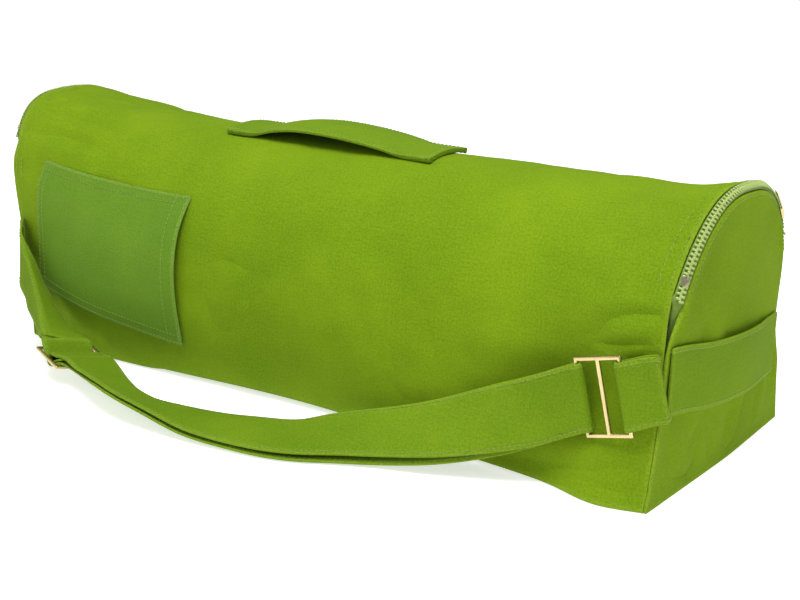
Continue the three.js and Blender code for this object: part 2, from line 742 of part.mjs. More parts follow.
addPiece('main_body', mainBody(), canvasGreen, 0.9);
addPiece('end_panel_right', endPanel(1), canvasGreen, 0.9);
addPiece('end_panel_left', endPanel(-1), canvasGreen, 0.9);
addPiece('zip_right', zip(1), zipGreen, 0.45);
addPiece('zip_left', zip(-1), zipGreen, 0.45);
addPiece('pocket', pocket(), canvasGreen, 0.9);
addPiece('handle', handle(), canvasGreen, 0.9);
addPiece('end_band_right', endBand(1), canvasGreen, 0.9);
addPiece('end_band_left', endBand(-1), canvasGreen, 0.9);
addPiece('shoulder_strap', shoulderStrap(), canvasGreen, 0.9);
addPiece('buckle_loop', buckleLoop(), canvasGreen, 0.9);
addPiece('buckle', slide(buckleFrame), softGold, 0.3, 1);
addPiece('strap_slide', slide(leftFrame), softGold, 0.3, 1);
addPiece('zip_stop_right', zipStop(1), softGold, 0.4, 1);
addPiece('zip_stop_left', zipStop(-1), softGold, 0.4, 1);
addPiece('zip_slider_right', zipSlider(1), softGold, 0.4, 1);
addPiece('zip_slider_left', zipSlider(-1), softGold, 0.4, 1);

export default group;
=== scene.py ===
"""A yoga mat bag of green canvas, laid on a pale floor and lit like a catalogue picture."""

import math
from collections import defaultdict

import bmesh
import bpy
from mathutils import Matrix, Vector, noise
from mathutils.bvhtree import BVHTree
from mathutils.kdtree import KDTree


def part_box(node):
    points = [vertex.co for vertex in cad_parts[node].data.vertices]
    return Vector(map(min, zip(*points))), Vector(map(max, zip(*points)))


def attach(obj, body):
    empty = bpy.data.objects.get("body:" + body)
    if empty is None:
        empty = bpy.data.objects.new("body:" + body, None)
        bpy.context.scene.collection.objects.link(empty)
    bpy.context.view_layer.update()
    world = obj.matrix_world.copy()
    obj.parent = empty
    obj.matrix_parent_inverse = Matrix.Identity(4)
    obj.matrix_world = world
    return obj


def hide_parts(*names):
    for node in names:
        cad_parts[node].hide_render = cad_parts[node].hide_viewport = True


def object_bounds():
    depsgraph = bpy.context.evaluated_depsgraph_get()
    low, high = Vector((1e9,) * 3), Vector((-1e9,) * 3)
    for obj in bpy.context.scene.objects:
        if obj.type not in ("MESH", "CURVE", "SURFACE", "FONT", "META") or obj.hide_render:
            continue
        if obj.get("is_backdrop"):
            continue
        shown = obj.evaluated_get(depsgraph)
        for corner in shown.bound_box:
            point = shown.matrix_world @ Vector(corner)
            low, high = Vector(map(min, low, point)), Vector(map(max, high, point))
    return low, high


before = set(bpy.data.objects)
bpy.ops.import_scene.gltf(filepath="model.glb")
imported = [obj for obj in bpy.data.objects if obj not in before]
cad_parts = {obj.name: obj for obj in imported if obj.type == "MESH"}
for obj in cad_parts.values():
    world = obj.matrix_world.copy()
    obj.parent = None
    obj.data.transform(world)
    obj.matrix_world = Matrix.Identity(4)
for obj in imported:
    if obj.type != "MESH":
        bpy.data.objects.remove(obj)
cad_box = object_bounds()

BODY = "root"
MM = 0.001

# Sewing and zip sizes, in metres
STITCH_PITCH = 4.0 * MM
STITCH_LENGTH = 3.0 * MM
STITCH_WIDTH = 0.75 * MM
STITCH_RISE = 0.3
STRAP_STITCH_INSET = 3.0 * MM
TOOTH_PITCH = 3.6 * MM
CHAIN_RISE = 0.55 * MM
TEETH_HEIGHT = 1.3 * MM

# How far the hidden ends of the zip's tape move out along the bag and towards its middle
TAPE_DRIFT = (-1.2 * MM, -0.4 * MM)

# How firmly the cloth's sharp edges keep their shape, and how far from one it may fold
RIM_CREASE = 0.75
FOLD_DEPTH = 1.8 * MM
FREE_OF_SEAM = 9 * MM

# Half the base's length, and the height at which the zips start
BASE_HALF = 346 * MM
ZIP_START = 152 * MM


# Node trees


class Wire:
    """One value in a node tree. Sums and products of wires add their Math nodes."""

    def __init__(self, net, socket):
        self.net = net
        self.socket = socket

    def _math(self, operation, *values):
        return self.net.node("ShaderNodeMath", {"operation": operation}, dict(enumerate(values)))

    def __add__(self, other):
        return self._math("ADD", self, other)

    def __mul__(self, other):
        return self._math("MULTIPLY", self, other)

    def __sub__(self, other):
        return self._math("SUBTRACT", self, other)

    def __rsub__(self, other):
        return self._math("SUBTRACT", other, self)

    __radd__ = __add__
    __rmul__ = __mul__

    def sine(self):
        return self._math("SINE", self)


class Net:
    """A node tree, with one method that adds any node to it."""

    def __init__(self, tree):
        self.tree = tree

    def node(self, kind, settings, inputs, output=0):
        made = self.tree.nodes.new(kind)
        for name, value in settings.items():
            if name == "stops":
                stops = made.color_ramp.elements
                while len(stops) < len(value):
                    stops.new(0.5)
                for stop, (place, colour) in zip(stops, value):
                    stop.position = place
                    stop.color = colour
            else:
                setattr(made, name, value)
        for name, value in inputs.items():
            if isinstance(value, Wire):
                self.tree.links.new(value.socket, made.inputs[name])
            else:
                made.inputs[name].default_value = value
        if output is None:
            return made
        return Wire(self, made.outputs[output])


class Paint(Net):
    """A material and the nodes that give it its finish."""

    def __init__(self, name):
        self.material = bpy.data.materials.new(name)
        self.material.use_nodes = True
        super().__init__(self.material.node_tree)
        self.tree.nodes.clear()

    def place(self, which="Object"):
        return self.node("ShaderNodeTexCoord", {}, {}, which)

    def moved(self, place, scale):
        return self.node("ShaderNodeMapping", {}, {"Vector": place, "Scale": scale})

    def part_of(self, place, letter):
        return self.node("ShaderNodeSeparateXYZ", {}, {0: place}, letter)

    def attribute(self, name):
        return self.node("ShaderNodeAttribute", {"attribute_name": name}, {}, "Fac")

    def noise(self, place, scale, detail=3.0):
        values = {"Vector": place, "Scale": scale, "Detail": detail, "Roughness": 0.55}
        return self.node("ShaderNodeTexNoise", {}, values)

    def stretch(self, value, low, high, to_low, to_high):
        values = {0: value, 1: low, 2: high, 3: to_low, 4: to_high}
        return self.node("ShaderNodeMapRange", {}, values)

    def mix(self, amount, first, second, blend="MIX"):
        settings = {"data_type": "RGBA", "blend_type": blend}
        return self.node("ShaderNodeMix", settings, {0: amount, 6: first, 7: second}, 2)

    def bump(self, height, distance, normal=None):
        values = {"Height": height, "Distance": distance}
        if normal is not None:
            values["Normal"] = normal
        return self.node("ShaderNodeBump", {}, values)

    def finish(self, **values):
        named = {name.replace("_", " "): value for name, value in values.items()}
        shader = self.node("ShaderNodeBsdfPrincipled", {}, named)
        self.node("ShaderNodeOutputMaterial", {}, {"Surface": shader}, None)
        return self.material


# Finishes


def canvas(name, deep, light, rim, weave_pitch=0.95 * MM):
    """Cotton canvas: a plain weave with slubs, soft clouds of shade, and lighter rims that are a painted highlight
    along its sharp edges.
    """
    paint = Paint(name)
    cloth = paint.place("UV")
    wave = 2 * math.pi / weave_pitch
    warp = (paint.part_of(cloth, "X") * wave).sine()
    weft = (paint.part_of(cloth, "Y") * wave).sine()
    weave = warp * weft
    fleck = paint.noise(cloth, 620, 2.0)
    slub_along = paint.noise(paint.moved(cloth, (55, 900, 1)), 1.0, 2.0)
    slub_across = paint.noise(paint.moved(cloth, (900, 55, 1)), 1.0, 2.0)
    cloud = paint.noise(paint.place(), 9.0, 4.0)
    shade = paint.stretch(cloud, 0.32, 0.68, 0.0, 1.0)
    speck = paint.stretch(fleck, 0.33, 0.67, 0.0, 1.0)
    shade = shade * 0.35 + speck * 0.45 + (slub_along + slub_across) * 0.35 - 0.2
    colour = paint.mix(shade, deep, light)
    # Painted highlight: the cloth near its sharp edges is painted towards the lighter rim colour, broken up by the
    # flecks.
    rim_highlight = paint.attribute("rim") * paint.stretch(fleck, 0.35, 0.65, 0.2, 1.0)
    colour = paint.mix(rim_highlight * 0.55, colour, rim)
    height = weave * 0.4 + fleck * 0.8 + (slub_along + slub_across) * 0.6
    thread = paint.bump(height, 0.16 * MM)
    crumple = paint.noise(paint.place(), 38.0, 3.0)
    normal = paint.bump(crumple, 1.1 * MM, thread)
    return paint.finish(
        Base_Color=colour,
        Roughness=paint.stretch(fleck, 0.3, 0.7, 0.82, 0.95),
        Normal=normal,
        Sheen_Weight=0.02,
        Sheen_Roughness=0.45,
        Sheen_Tint=(0.75, 0.9, 0.15, 1),
        Specular_IOR_Level=0.06,
    )


def sewing_thread(name, colour, dark):
    """Twisted cotton thread."""
    paint = Paint(name)
    twist = (paint.part_of(paint.place(), "X") * (2 * math.pi / (0.9 * MM))).sine()
    fuzz = paint.noise(paint.place(), 900, 2.0)
    return paint.finish(
        Base_Color=paint.mix(fuzz, dark, colour),
        Roughness=0.75,
        Normal=paint.bump(twist + fuzz, 0.08 * MM),
        Sheen_Weight=0.15,
    )


def tooth_plastic():
    """Moulded zip teeth, a little glossy and pale."""
    paint = Paint("zip teeth")
    grain = paint.noise(paint.place(), 350, 3.0)
    colour = paint.mix(grain, (0.19, 0.27, 0.05, 1), (0.34, 0.43, 0.12, 1))
    return paint.finish(
        Base_Color=colour,
        Roughness=paint.stretch(grain, 0.3, 0.7, 0.32, 0.5),
        Normal=paint.bump(grain, 0.05 * MM),
        Coat_Weight=0.12,
    )


def zip_tape():
    """Ribbed tape that the teeth are moulded on."""
    paint = Paint("zip tape")
    rib = (paint.part_of(paint.place(), "Z") * (2 * math.pi / (0.8 * MM))).sine()
    fuzz = paint.noise(paint.place(), 500, 2.0)
    return paint.finish(
        Base_Color=paint.mix(fuzz, (0.09, 0.16, 0.012, 1), (0.17, 0.26, 0.03, 1)),
        Roughness=0.85,
        Normal=paint.bump(rib * 0.5 + fuzz, 0.10 * MM),
    )


def soft_gold(name="soft gold"):
    """Brushed and lacquered soft gold, darker in its small dents."""
    paint = Paint(name)
    place = paint.place()
    brushed = paint.noise(paint.moved(place, (1400, 1400, 90)), 1.0, 2.0)
    patina = paint.noise(place, 120, 4.0)
    colour = paint.mix(patina, (0.40, 0.30, 0.12, 1), (0.66, 0.53, 0.28, 1))
    return paint.finish(
        Base_Color=colour,
        Metallic=1.0,
        Roughness=paint.stretch(brushed + patina, 0.6, 1.4, 0.16, 0.36),
        Normal=paint.bump(brushed, 0.02 * MM),
        Coat_Weight=0.2,
    )


def bright_steel():
    """Nickel plate on the small zip stops."""
    paint = Paint("nickel plate")
    speck = paint.noise(paint.place(), 300, 3.0)
    return paint.finish(
        Base_Color=paint.mix(speck, (0.22, 0.22, 0.12, 1), (0.38, 0.37, 0.24, 1)),
        Metallic=1.0,
        Roughness=paint.stretch(speck, 0.3, 0.7, 0.15, 0.35),
    )


def pale_floor():
    paint = Paint("pale floor")
    speck = paint.noise(paint.place(), 60, 2.0)
    return paint.finish(
        Base_Color=paint.mix(speck, (0.80, 0.80, 0.80, 1), (0.83, 0.83, 0.83, 1)),
        Roughness=0.8,
        Emission_Color=(1, 1, 1, 1),
        Emission_Strength=0.60,
    )


# The last colour of each canvas is its painted highlight along the sharp edges.
CANVAS = canvas("canvas", (0.072, 0.146, 0.003, 1), (0.170, 0.270, 0.006, 1), (0.25, 0.35, 0.03, 1))
STRAP_CANVAS = canvas(
    "strap canvas", (0.064, 0.136, 0.004, 1), (0.146, 0.242, 0.008, 1), (0.23, 0.33, 0.03, 1)
)
POCKET_CANVAS = canvas(
    "pocket canvas", (0.056, 0.135, 0.010, 1), (0.126, 0.235, 0.018, 1), (0.21, 0.32, 0.06, 1)
)
THREAD = sewing_thread("canvas thread", (0.18, 0.28, 0.02, 1), (0.11, 0.19, 0.008, 1))
TEETH = tooth_plastic()
TAPE = zip_tape()
GOLD = soft_gold()
NICKEL = bright_steel()


# Meshes taken from the solids


def merged(node):
    """A bmesh of a solid's surface with its loose triangles joined at their corners."""
    shape = bmesh.new()
    shape.from_mesh(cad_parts[node].data)
    bmesh.ops.remove_doubles(shape, verts=shape.verts, dist=0.02 * MM)
    shape.normal_update()
    return shape


def new_piece(name, shape, material):
    mesh = bpy.data.meshes.new(name)
    shape.to_mesh(mesh)
    shape.free()
    piece = bpy.data.objects.new(name, mesh)
    bpy.context.scene.collection.objects.link(piece)
    mesh.materials.append(material)
    return piece


def baked(piece):
    """The piece with its modifiers worked into its mesh."""
    ready = piece.evaluated_get(bpy.context.evaluated_depsgraph_get())
    mesh = bpy.data.meshes.new_from_object(ready)
    piece.modifiers.clear()
    old = piece.data
    piece.data = mesh
    bpy.data.meshes.remove(old)
    mesh.shade_smooth()
    return piece


def rounded(piece, levels):
    modifier = piece.modifiers.new("rounding", "SUBSURF")
    modifier.levels = levels
    modifier.render_levels = levels
    modifier.uv_smooth = "NONE"
    return baked(piece)


def lay_weave(piece):
    """A UV map in metres that lays the weave on each face, seen along its main direction."""
    mesh = piece.data
    weave = mesh.uv_layers.new(name="weave")
    for face in mesh.polygons:
        facing = [abs(value) for value in face.normal]
        flat = facing.index(max(facing))
        across, up = [(1, 2), (0, 2), (0, 1)][flat]
        for loop in face.loop_indices:
            place = mesh.vertices[mesh.loops[loop].vertex_index].co
            weave.data[loop].uv = (place[across], place[up])


class Seam:
    """A line of points on a sharp edge, with the cloth's normal and the way into the cloth."""

    def __init__(self, points, normals, inward):
        self.points = points
        self.normals = normals
        self.inward = inward

    def length(self):
        return sum((b - a).length for a, b in zip(self.points, self.points[1:]))

    def middle(self):
        return sum(self.points, Vector()) / len(self.points)

    def facing(self):
        return (sum(self.normals, Vector())).normalized()

    def kept(self, test):
        """The part of the line whose points pass the test."""
        chosen = [i for i, point in enumerate(self.points) if test(point)]
        if len(chosen) < 2:
            return None
        run = range(chosen[0], chosen[-1] + 1)
        pick = lambda values: [values[i] for i in run]
        return Seam(pick(self.points), pick(self.normals), pick(self.inward))


def walked(start, edge, links, used):
    line = [start]
    while edge not in used:
        used.add(edge)
        line.append(edge.other_vert(line[-1]))
        onward = [e for e in links[line[-1]] if e not in used]
        if len(links[line[-1]]) != 2 or not onward:
            break
        edge = onward[0]
    return line


def sharp_seams(node, least=50, shortest=20 * MM):
    """Every long sharp edge of a solid, once for the wider of the two faces that meet in it."""
    shape = merged(node)
    sharp = [e for e in shape.edges if e.calc_face_angle(0.0) > math.radians(least)]
    links = defaultdict(list)
    for edge in sharp:
        for corner in edge.verts:
            links[corner].append(edge)
    used = set()
    lines = []
    starts = [v for v in links if len(links[v]) != 2] + [e.verts[0] for e in sharp]
    for start in starts:
        for edge in links[start]:
            if edge not in used:
                lines.append(walked(start, edge, links, used))
    seams = []
    for line in lines:
        ways = []
        for a, b in zip(line, line[1:]):
            edge = next(e for e in a.link_edges if e.other_vert(a) == b)
            wide = max(edge.link_faces, key=lambda f: f.calc_area())
            inward = wide.normal.cross(b.co - a.co).normalized()
            if inward.dot(wide.calc_center_median() - a.co) < 0:
                inward.negate()
            ways.append((wide.normal.copy(), inward))
        around = [ways[:1], *zip(ways, ways[1:]), ways[-1:]]
        normals = [sum((n for n, _ in pair), Vector()).normalized() for pair in around]
        inwards = [sum((w for _, w in pair), Vector()).normalized() for pair in around]
        seam = Seam([v.co.copy() for v in line], normals, inwards)
        if seam.length() > shortest:
            seams.append(seam)
    shape.free()
    return seams


def mark_rims(piece, seams, reach=3.5 * MM):
    """An attribute that is 1 on the cloth's sharp edges and fades to 0 within reach, the mask of the painted rim
    highlight.
    """
    points = []
    for seam in seams:
        for a, b in zip(seam.points, seam.points[1:]):
            steps = max(1, int((b - a).length / (1.5 * MM)))
            points += [a.lerp(b, i / steps) for i in range(steps)]
    tree = KDTree(len(points))
    for i, point in enumerate(points):
        tree.insert(point, i)
    tree.balance()
    rim = piece.data.attributes.new("rim", "FLOAT", "POINT")
    for vertex, value in zip(piece.data.vertices, rim.data):
        value.value = max(0.0, 1 - tree.find(vertex.co)[2] / reach)
    return lambda place: tree.find(place)[2]


def folded(piece, folds, crumple, size=70 * MM, still=None, pulls=None):
    """Moves the cloth along its normals: long folds from a table, and a slight crumple."""
    mesh = piece.data
    surface = surface_of(piece)
    lines = [
        (surface.find_nearest(Vector(fold["start"]) * MM)[0], surface.find_nearest(Vector(fold["end"]) * MM)[0])
        for fold in folds
    ]
    offsets = []
    for vertex in mesh.vertices:
        move = crumple * (noise.noise(vertex.co / size) + 0.45 * noise.noise(vertex.co / size * 2.7))
        for fold, (start, end) in zip(folds, lines):
            way = end - start
            share = (vertex.co - start).dot(way) / way.length_squared
            if -0.3 < share < 1.3:
                aside = (vertex.co - start - way * share).length / (fold["width"] * MM)
                if aside < 3:
                    fade = max(0.0, 1 - (2 * share - 1) ** 2 * 0.6) * math.exp(-aside * aside)
                    fade *= 1.0 if 0 <= share <= 1 else max(0.0, 1 - abs(share - 0.5) / 0.8) * 2
                    move += fold["height"] * FOLD_DEPTH * fade
        if pulls:
            move += pulls(vertex.co)
        if still:
            move *= still(vertex.co)
        offsets.append(vertex.normal * move)
    for vertex, offset in zip(mesh.vertices, offsets):
        vertex.co += offset
    mesh.update()
    return piece


def cloth_from(node, name, material, levels=2, folds=(), crumple=0.0, still=None, pulls=None):
    """A node's cloth as a smooth piece with its folds, weave and the painted highlight on its rims."""
    shape = merged(node)
    bmesh.ops.join_triangles(
        shape, faces=shape.faces, angle_face_threshold=0.9, angle_shape_threshold=1.2
    )
    crease = shape.edges.layers.float.new("crease_edge")
    for edge in shape.edges:
        edge[crease] = RIM_CREASE if edge.calc_face_angle(0.0) > math.radians(50) else 0.0
    piece = rounded(new_piece(name, shape, material), levels)
    near = mark_rims(piece, sharp_seams(node))
    if folds or crumple:
        calm = lambda place: still(place) * min(1.0, near(place) / FREE_OF_SEAM)
        folded(piece, folds, crumple, still=calm, pulls=pulls)
    lay_weave(piece)
    return dressed(piece, "canvas", node)


def dressed(piece, slot_name, *nodes):
    if nodes:
        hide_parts(*nodes)
    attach(piece, BODY)
    return piece


# Rows of stitches and teeth along lines


def repeat_tree(name, shape_of_one):
    """Geometry Nodes that set one small shape again and again along lines, facing outwards."""
    tree = bpy.data.node_groups.new(name, "GeometryNodeTree")
    face = tree.interface
    face.new_socket(name="Lines", in_out="INPUT", socket_type="NodeSocketGeometry")
    pitch = face.new_socket(name="Pitch", in_out="INPUT", socket_type="NodeSocketFloat")
    finish = face.new_socket(name="Finish", in_out="INPUT", socket_type="NodeSocketMaterial")
    face.new_socket(name="Row", in_out="OUTPUT", socket_type="NodeSocketGeometry")
    net = Net(tree)
    given = net.node("NodeGroupInput", {}, {}, None)
    lines = Wire(net, given.outputs["Lines"])
    curve = net.node("GeometryNodeMeshToCurve", {}, {"Mesh": lines})
    even = net.node(
        "GeometryNodeResampleCurve",
        {"mode": "LENGTH"},
        {"Curve": curve, "Length": Wire(net, given.outputs["Pitch"])},
    )
    spots = net.node("GeometryNodeCurveToPoints", {"mode": "EVALUATED"}, {"Curve": even}, None)
    outward = net.node(
        "GeometryNodeInputNamedAttribute", {"data_type": "FLOAT_VECTOR"}, {"Name": "outward"}
    )
    along = net.node(
        "FunctionNodeAlignRotationToVector",
        {"axis": "X"},
        {"Vector": Wire(net, spots.outputs["Tangent"])},
    )
    turned = net.node(
        "FunctionNodeAlignRotationToVector",
        {"axis": "Z", "pivot_axis": "X"},
        {"Rotation": along, "Vector": outward},
    )
    copies = net.node(
        "GeometryNodeInstanceOnPoints",
        {},
        {"Points": Wire(net, spots.outputs["Points"]), "Instance": shape_of_one(net), "Rotation": turned},
    )
    real = net.node("GeometryNodeRealizeInstances", {}, {"Geometry": copies})
    painted = net.node(
        "GeometryNodeSetMaterial",
        {},
        {"Geometry": real, "Material": Wire(net, given.outputs["Finish"])},
    )
    net.node("NodeGroupOutput", {}, {"Row": painted}, None)
    return tree, pitch.identifier, finish.identifier


def one_stitch(net):
    ball = net.node("GeometryNodeMeshIcoSphere", {}, {"Radius": 0.5, "Subdivisions": 2})
    size = (STITCH_LENGTH, STITCH_WIDTH, STITCH_WIDTH * 0.8)
    return net.node("GeometryNodeTransform", {}, {"Geometry": ball, "Scale": size})


def tooth(net, side):
    """One tooth: a shank from the tape to the middle, with a round head past it."""
    shank = net.node("GeometryNodeMeshCube", {}, {"Size": (1.7 * MM, 2.8 * MM, TEETH_HEIGHT)})
    shank = net.node(
        "GeometryNodeTransform",
        {},
        {"Geometry": shank, "Translation": (0, side * 1.9 * MM, 0)},
    )
    head = net.node("GeometryNodeMeshIcoSphere", {}, {"Radius": 1.25 * MM, "Subdivisions": 2})
    head = net.node(
        "GeometryNodeTransform",
        {},
        {"Geometry": head, "Translation": (0, side * 0.4 * MM, 0), "Scale": (1.0, 1.2, 0.8)},
    )
    join = net.node("GeometryNodeJoinGeometry", {}, {}, None)
    for part in (head, shank):
        net.tree.links.new(part.socket, join.inputs[0])
    return Wire(net, join.outputs[0])


def pair_of_teeth(net):
    join = net.node("GeometryNodeJoinGeometry", {}, {}, None)
    for side in (-1, 1):
        moved = net.node(
            "GeometryNodeTransform",
            {},
            {"Geometry": tooth(net, side), "Translation": (side * TOOTH_PITCH / 4, 0, 0)},
        )
        net.tree.links.new(moved.socket, join.inputs[0])
    return Wire(net, join.outputs[0])


STITCHES = repeat_tree("stitches", one_stitch)
CHAIN = repeat_tree("zip chain", pair_of_teeth)


def row_along(name, lines, tree_and_inputs, pitch, material):
    """A piece of repeated shapes along lines, each given as points with their outward way."""
    tree, pitch_input, finish_input = tree_and_inputs
    mesh = bpy.data.meshes.new(name)
    points = [point for line in lines for point, _ in line]
    outward = [way for line in lines for _, way in line]
    edges = []
    first = 0
    for line in lines:
        edges += [(first + i, first + i + 1) for i in range(len(line) - 1)]
        first += len(line)
    mesh.from_pydata(points, edges, [])
    values = mesh.attributes.new("outward", "FLOAT_VECTOR", "POINT").data
    for value, way in zip(values, outward):
        value.vector = way
    piece = bpy.data.objects.new(name, mesh)
    bpy.context.scene.collection.objects.link(piece)
    modifier = piece.modifiers.new("row", "NODES")
    modifier.node_group = tree
    modifier[pitch_input] = pitch
    modifier[finish_input] = material
    return baked(piece)


def on_surface(points, surface, rise):
    """Points moved onto a finished surface, each with the surface's outward way."""
    line = []
    for point in points:
        place, normal, _, _ = surface.find_nearest(point)
        if place is not None:
            line.append((place + normal * rise, normal))
    return line


def surface_of(piece):
    mesh = piece.data
    return BVHTree.FromPolygons([v.co for v in mesh.vertices], [f.vertices for f in mesh.polygons])


def sewn(name, piece, seams, insets):
    """Rows of stitches on a piece, each at its inset from a sharp edge."""
    surface = surface_of(piece)
    lines = []
    for seam in seams:
        for inset in insets:
            inner = [
                point + way * inset + normal * 0.6 * MM
                for point, normal, way in zip(seam.points, seam.normals, seam.inward)
            ]
            lines.append(on_surface(inner, surface, STITCH_WIDTH * STITCH_RISE))
    row = row_along(name, lines, STITCHES, STITCH_PITCH, THREAD)
    return dressed(row, "canvas")


def smooth_line(points, steps):
    """A Catmull-Rom line through the points."""
    line = []
    for i in range(len(points) - 1):
        before, a, b, after = (points[max(0, min(len(points) - 1, j))] for j in range(i - 1, i + 3))
        for k in range(steps):
            t = k / steps
            line.append(
                0.5
                * (
                    2 * a
                    + (b - before) * t
                    + (2 * before - 5 * a + 4 * b - after) * t * t
                    + (3 * a - before - 3 * b + after) * t * t * t
                )
            )
    return line + [points[-1]]


# Pieces

BODY_FOLDS = [
    # Under the right zip's front end, running into the seam
    {"start": (342, -128, 140), "end": (290, -128, 120), "width": 11, "height": -2.2},
    {"start": (342, -128, 152), "end": (280, -122, 146), "width": 8, "height": 2.0},
    {"start": (342, -128, 126), "end": (286, -132, 104), "width": 10, "height": 1.8},
    {"start": (338, -130, 116), "end": (300, -134, 98), "width": 7, "height": -2.0},
    # Above the buckle, and the soft bulge low at the right
    {"start": (250, -130, 104), "end": (180, -126, 96), "width": 14, "height": 2.0},
    {"start": (300, -134, 40), "end": (180, -130, 30), "width": 22, "height": 2.6},
    {"start": (330, -136, 22), "end": (210, -132, 8), "width": 12, "height": -2.2},
    # Hollows and ridges on the upper left, towards the zip
    {"start": (-335, -40, 214), "end": (-250, -30, 214), "width": 13, "height": 2.2},
    {"start": (-335, -60, 205), "end": (-240, -66, 198), "width": 12, "height": -2.2},
    {"start": (-335, -78, 190), "end": (-250, -84, 184), "width": 12, "height": 1.8},
    {"start": (-330, 20, 218), "end": (-240, 30, 210), "width": 15, "height": -1.8},
    # Pull lines from the handle's sewn ends
    {"start": (-140, -20, 212), "end": (-190, -50, 204), "width": 10, "height": -1.5},
    {"start": (92, -24, 212), "end": (140, -54, 204), "width": 10, "height": -1.5},
    # Sag along the front
    {"start": (-60, -122, 120), "end": (-70, -128, 50), "width": 20, "height": -1.4},
    {"start": (40, -122, 130), "end": (30, -128, 40), "width": 24, "height": 1.4},
    {"start": (130, -122, 130), "end": (120, -128, 40), "width": 22, "height": -1.4},
    {"start": (210, -118, 150), "end": (200, -126, 60), "width": 22, "height": 1.5},
]
PANEL_FOLDS = [
    {"start": (352, -60, 120), "end": (352, -30, 60), "width": 14, "height": 2.4},
    {"start": (352, 96, 110), "end": (352, 104, 20), "width": 9, "height": 2.4},
    {"start": (352, 78, 110), "end": (352, 84, 30), "width": 8, "height": -2.2},
    {"start": (352, 10, 70), "end": (352, 0, 10), "width": 14, "height": -1.8},
    {"start": (352, 60, 80), "end": (352, 50, 12), "width": 13, "height": 1.8},
    {"start": (352, -90, 60), "end": (352, -80, 12), "width": 12, "height": -1.5},
    {"start": (352, -95, 150), "end": (352, -60, 190), "width": 12, "height": -1.5},
    {"start": (352, -120, 140), "end": (352, -70, 118), "width": 10, "height": 2.0},
]


def off_the_floor(place):
    """1 on free cloth, and 0 where the bag rests on its base."""
    return max(0.0, min(1.0, (place.z - 3 * MM) / (14 * MM)))


def wrinkles(place, sizes, depth):
    """Long creases, drawn out along the widest of three sizes."""
    drawn = Vector(value / (size * MM) for value, size in zip(place, sizes))
    return -depth * max(0.0, 1 - 5 * abs(noise.noise(drawn)))


def end_pulls(place):
    """Creases along the bag that run out from the seams at its ends."""
    near_end = 1 - (BASE_HALF - abs(place.x)) / (150 * MM)
    return wrinkles(place, (130, 36, 36), 2.6 * MM) * max(0.12, min(1.0, near_end))


def panel_pulls(place):
    """Creases up and down the end panels, deepest under the band."""
    low = 1 - place.z / (170 * MM)
    return wrinkles(place, (60, 38, 110), 2.8 * MM) * max(0.15, low)


body = cloth_from(
    "main_body", "body_cloth", CANVAS, 2, BODY_FOLDS, 1.9 * MM, off_the_floor, end_pulls
)
right_panel = cloth_from(
    "end_panel_right", "right_end_cloth", CANVAS, 2, PANEL_FOLDS, 1.7 * MM, off_the_floor, panel_pulls
)
left_panel = cloth_from(
    "end_panel_left", "left_end_cloth", CANVAS, 2, (), 1.2 * MM, off_the_floor, panel_pulls
)
pocket = cloth_from("pocket", "pocket_cloth", POCKET_CANVAS, 2)
handle = cloth_from("handle", "handle_cloth", STRAP_CANVAS, 2)
right_band = cloth_from("end_band_right", "right_band_cloth", STRAP_CANVAS, 2)
left_band = cloth_from("end_band_left", "left_band_cloth", STRAP_CANVAS, 2)
strap = cloth_from("shoulder_strap", "strap_cloth", STRAP_CANVAS, 2)
loop = cloth_from("buckle_loop", "buckle_loop_cloth", STRAP_CANVAS, 2)


def bevelled(node, name, material, width, slot_name):
    """A metal or moulded piece with its edges rounded over."""
    shape = merged(node)
    bmesh.ops.dissolve_limit(
        shape, angle_limit=math.radians(2), verts=shape.verts, edges=shape.edges
    )
    piece = new_piece(name, shape, material)
    modifier = piece.modifiers.new("rounded edges", "BEVEL")
    modifier.width = width
    modifier.segments = 3
    modifier.limit_method = "ANGLE"
    modifier.angle_limit = math.radians(28)
    modifier.harden_normals = False
    piece = baked(piece)
    return dressed(piece, slot_name, node)


bevelled("buckle", "buckle_frame", GOLD, 0.9 * MM, "buckle_metal")
bevelled("strap_slide", "slide_frame", GOLD, 0.9 * MM, "buckle_metal")
for end in ("right", "left"):
    bevelled(f"zip_stop_{end}", f"zip_end_stop_{end}", NICKEL, 0.35 * MM, "buckle_metal")
    bevelled(f"zip_slider_{end}", f"zip_pull_{end}", GOLD, 0.4 * MM, "buckle_metal")


def zip_rings(node):
    """The zip's sections in order round the bag's end, each as its corners and its middle."""
    shape = merged(node)
    low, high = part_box(node)
    middle = (low + high) / 2
    around = lambda v: math.atan2(v.co.z - low.z, v.co.y - middle.y)
    corners = sorted((v for v in shape.verts), key=around)
    rings = []
    for i in range(0, len(corners), 5):
        ring = [v.co.copy() for v in corners[i : i + 5]]
        rings.append(ring)
    shape.free()
    return rings, middle


def lengthen_tape(shape, ring, side):
    """Runs one end of the tape down behind the seam, narrower as it goes."""
    middle = sum(ring, Vector()) / len(ring)
    ends = [v for v in shape.verts if any((v.co - p).length < 1.3 * MM for p in ring)]
    cap = [f for f in shape.faces if all(v in ends for v in f.verts)]
    for step in range(5):
        grown = bmesh.ops.extrude_face_region(shape, geom=cap)
        moved = [g for g in grown["geom"] if isinstance(g, bmesh.types.BMVert)]
        bmesh.ops.delete(shape, geom=cap, context="FACES_ONLY")
        cap = [g for g in grown["geom"] if isinstance(g, bmesh.types.BMFace)]
        middle = sum((v.co for v in moved), Vector()) / len(moved)
        for vertex in moved:
            vertex.co += (middle - vertex.co) * 0.03
            vertex.co += Vector((side * TAPE_DRIFT[0], -middle.y / abs(middle.y) * TAPE_DRIFT[1], -12 * MM))


